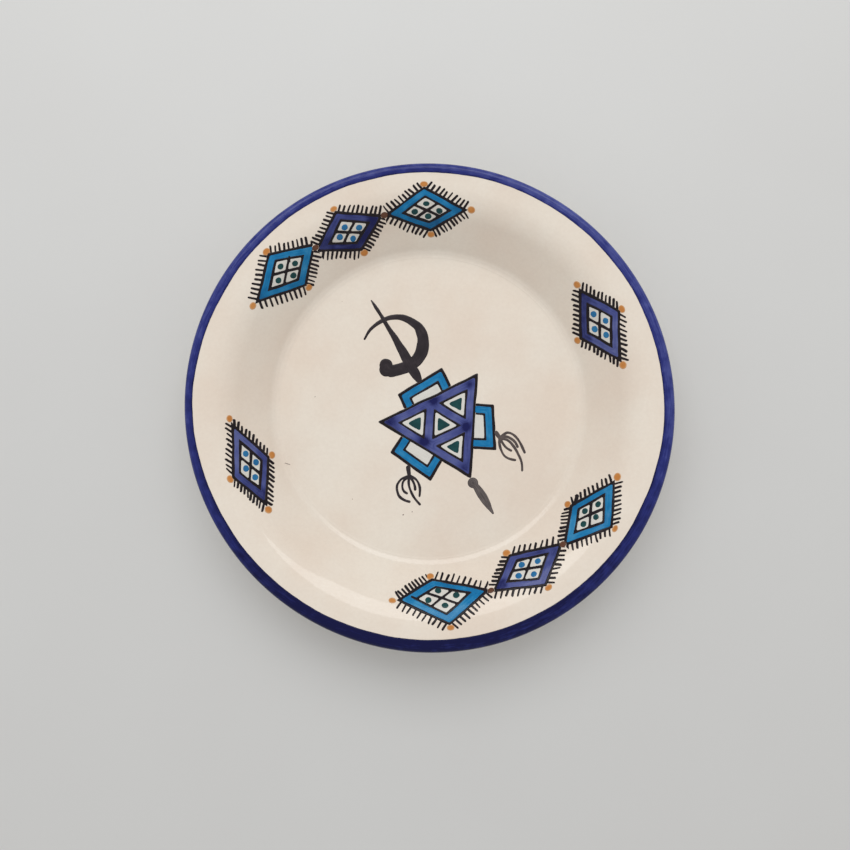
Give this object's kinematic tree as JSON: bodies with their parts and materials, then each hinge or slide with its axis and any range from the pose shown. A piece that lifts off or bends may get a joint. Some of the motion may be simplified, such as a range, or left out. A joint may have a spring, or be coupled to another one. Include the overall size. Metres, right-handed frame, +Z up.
{
  "type": "dinner plate",
  "caption": "Deep round earthenware plate with a foot ring, cream glaze, a brushed cobalt lip, fringed lozenges on the wall and a tasselled brooch motif in the well.",
  "frame": {"origin": "centre of the foot ring's resting plane, on the plate's axis", "axes": "+Z up along the plate's axis; +X and +Y are right and up as the ornament is read from above"},
  "size_m": [0.23, 0.23, 0.035],
  "materials": {
    "bare_clay": "unglazed fired earthenware, matt and slightly gritty",
    "cream_glaze": "clear gloss over cream, with small pinholes and faint throwing rings",
    "cobalt_band": "brushed cobalt under gloss, darker where the strokes overlap",
    "ink_line": "black brush line with a slight relief",
    "brush_black": "softer brown black, thinner at the ends of the strokes",
    "turquoise_enamel": "brushed turquoise blue, pooled at the edges",
    "cobalt_enamel": "brushed violet cobalt, darker where strokes overlap",
    "white_enamel": "thin white ground",
    "ochre_enamel": "soft-edged ochre dabs",
    "brown_enamel": "brown dabs",
    "green_enamel": "dark blue green dabs"
  },
  "bodies": {
    "root": {"clay_body": "bare_clay", "glaze_coat": "cream_glaze", "base_glaze": "cream_glaze", "rim_band": "cobalt_band", "lozenge_1_outline": "ink_line", "lozenge_1_field": "turquoise_enamel", "lozenge_1_dots": "green_enamel", "lozenge_1_fringe": "ink_line", "lozenge_2_outline": "ink_line", "lozenge_2_field": "cobalt_enamel", "lozenge_2_dots": "turquoise_enamel", "lozenge_2_fringe": "ink_line", "lozenge_3_outline": "ink_line", "lozenge_3_field": "turquoise_enamel", "lozenge_3_dots": "green_enamel", "lozenge_3_fringe": "ink_line", "lozenge_4_outline": "ink_line", "lozenge_4_field": "cobalt_enamel", "lozenge_4_dots": "turquoise_enamel", "lozenge_4_fringe": "ink_line", "lozenge_5_outline": "ink_line", "lozenge_5_field": "turquoise_enamel", "lozenge_5_dots": "green_enamel", "lozenge_5_fringe": "ink_line", "lozenge_6_outline": "ink_line", "lozenge_6_field": "cobalt_enamel", "lozenge_6_dots": "turquoise_enamel", "lozenge_6_fringe": "ink_line", "lozenge_7_outline": "ink_line", "lozenge_7_field": "turquoise_enamel", "lozenge_7_dots": "green_enamel", "lozenge_7_fringe": "ink_line", "lozenge_8_outline": "ink_line", "lozenge_8_field": "cobalt_enamel", "lozenge_8_dots": "turquoise_enamel", "lozenge_8_fringe": "ink_line", "lozenge_cells": "white_enamel", "ochre_dots": "ochre_enamel", "chain_dots": "brown_enamel", "brooch_pin": "brush_black", "brooch_ring": "brush_black", "brooch_outline": "ink_line", "brooch_field": "cobalt_enamel", "brooch_cells": "white_enamel", "brooch_green": "green_enamel", "bracket_1_outline": "ink_line", "bracket_1_field": "turquoise_enamel", "bracket_2_outline": "ink_line", "bracket_2_field": "turquoise_enamel", "bracket_3_outline": "ink_line", "bracket_3_field": "turquoise_enamel", "tassel_1": "brush_black", "tassel_2": "brush_black", "pendant": "brush_black"}
  },
  "joints": []
}
